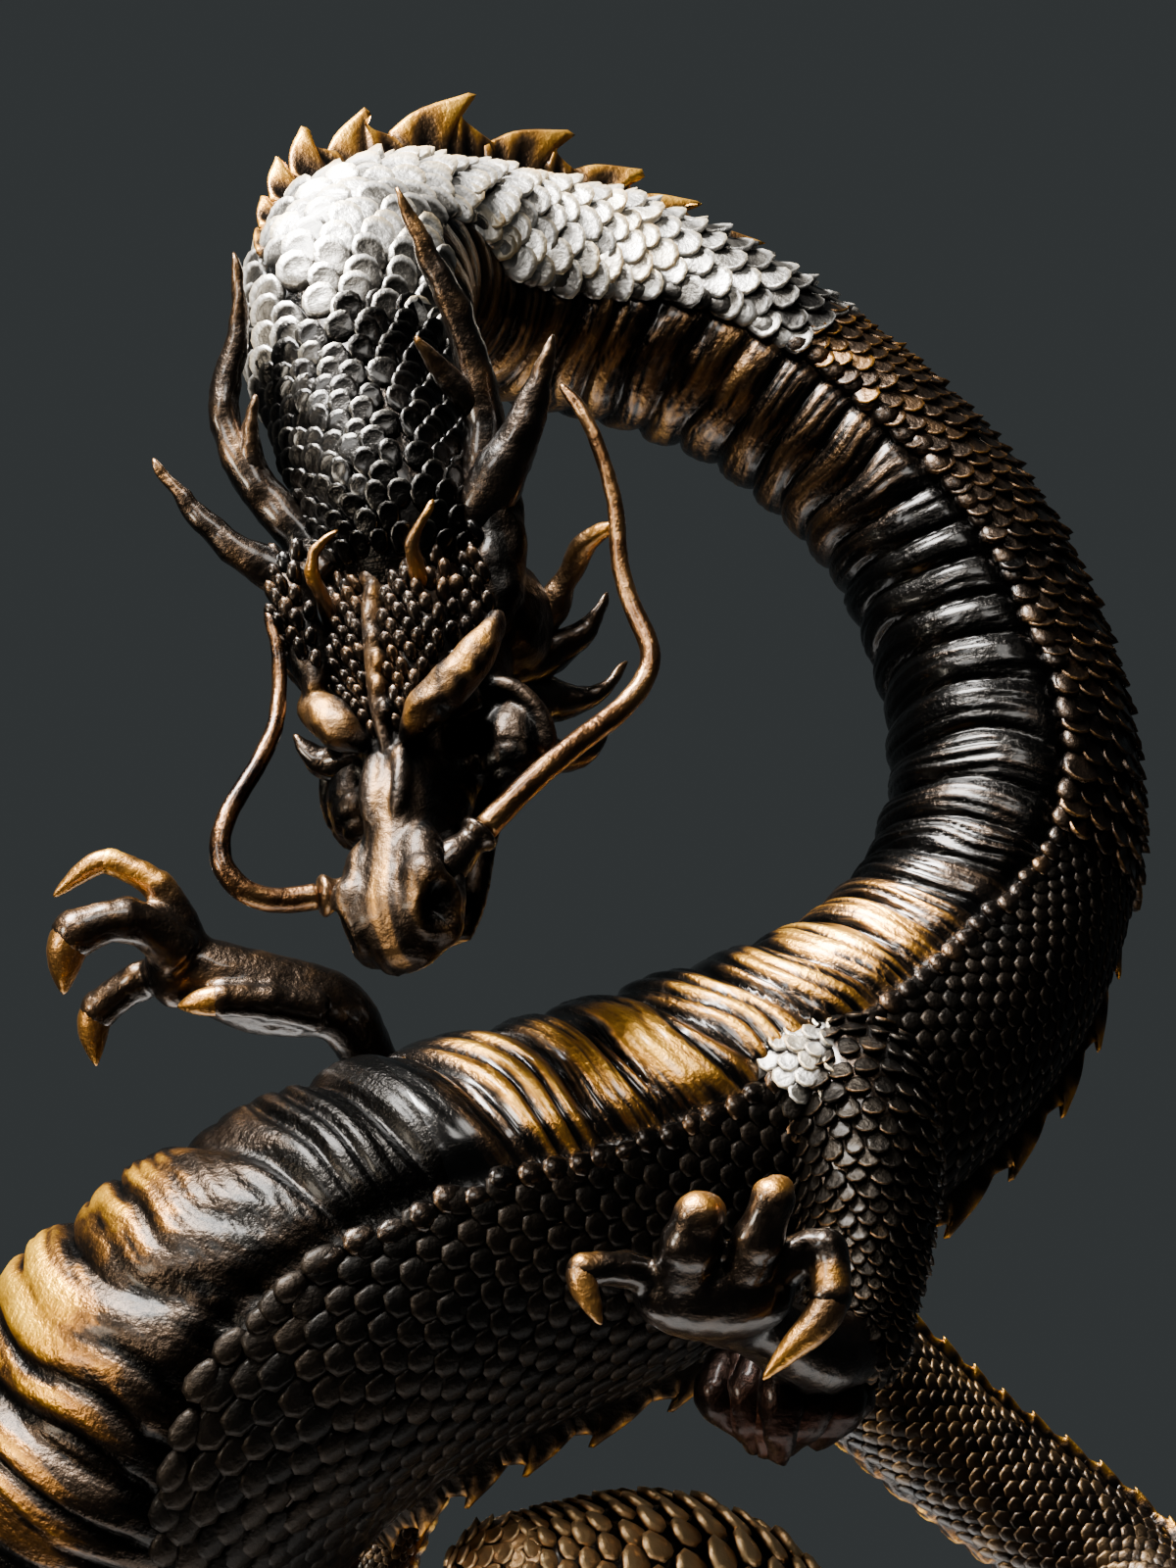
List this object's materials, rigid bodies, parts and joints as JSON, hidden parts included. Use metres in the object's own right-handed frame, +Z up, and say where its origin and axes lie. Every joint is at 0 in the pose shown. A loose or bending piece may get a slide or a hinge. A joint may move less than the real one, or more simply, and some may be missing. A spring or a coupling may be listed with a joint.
{
  "type": "dragon sculpture",
  "caption": "Cast bronze dragon rearing in an S-curve with its head turned down and back, bent-rod whiskers, on a low round plinth.",
  "frame": {"origin": "centre of the plinth's flat underside", "axes": "+Z up, -Y towards the front, where the head and chest face, +X to the viewer's right from the front"},
  "size_m": [0.2231, 0.1888, 0.3362],
  "materials": {
    "patinated_bronze": "dark brown patina, polished to golden bronze on raised edges",
    "whisker_bronze": "copper brown, satin",
    "plinth_bronze": "dark brown patina, satin"
  },
  "bodies": {
    "root": {"dragon": "patinated_bronze", "whisker_left": "whisker_bronze", "whisker_right": "whisker_bronze", "plinth": "plinth_bronze"}
  },
  "joints": []
}
